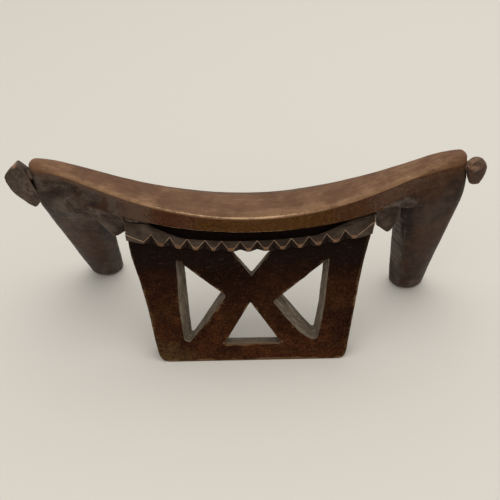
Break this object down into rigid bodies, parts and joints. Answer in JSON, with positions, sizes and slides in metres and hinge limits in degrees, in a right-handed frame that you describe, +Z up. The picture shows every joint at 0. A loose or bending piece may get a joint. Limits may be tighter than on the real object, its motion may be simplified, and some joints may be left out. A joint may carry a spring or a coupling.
{
  "type": "wooden headrest",
  "caption": "Carved wooden headrest: a long curved saddle on tapering back legs and a pierced, zigzag-edged front panel, with carved knobs at its tips.",
  "frame": {"origin": "middle of the footprint on the floor, under the box that holds the whole headrest", "axes": "+X along the saddle to the end with the small tail knob, -Y out of the pierced front panel, +Z up"},
  "size_m": [0.4764, 0.1914, 0.205],
  "materials": {
    "saddle_wood": "warm brown hardwood, worn to a soft sheen",
    "leg_wood": "dark grey-brown hardwood, satin",
    "panel_wood": "very dark reddish brown hardwood, satin with rubbed patches",
    "cornice_wood": "grey-brown hardwood with lighter worn edges",
    "knob_wood": "dark grey-brown hardwood, satin"
  },
  "bodies": {
    "root": {"saddle": "saddle_wood", "left_leg": "leg_wood", "right_leg": "leg_wood", "front_panel": "panel_wood", "zigzag_cornice": "cornice_wood", "left_pendant": "leg_wood", "right_pendant": "leg_wood", "left_knob": "knob_wood", "right_knob": "knob_wood"}
  },
  "joints": []
}
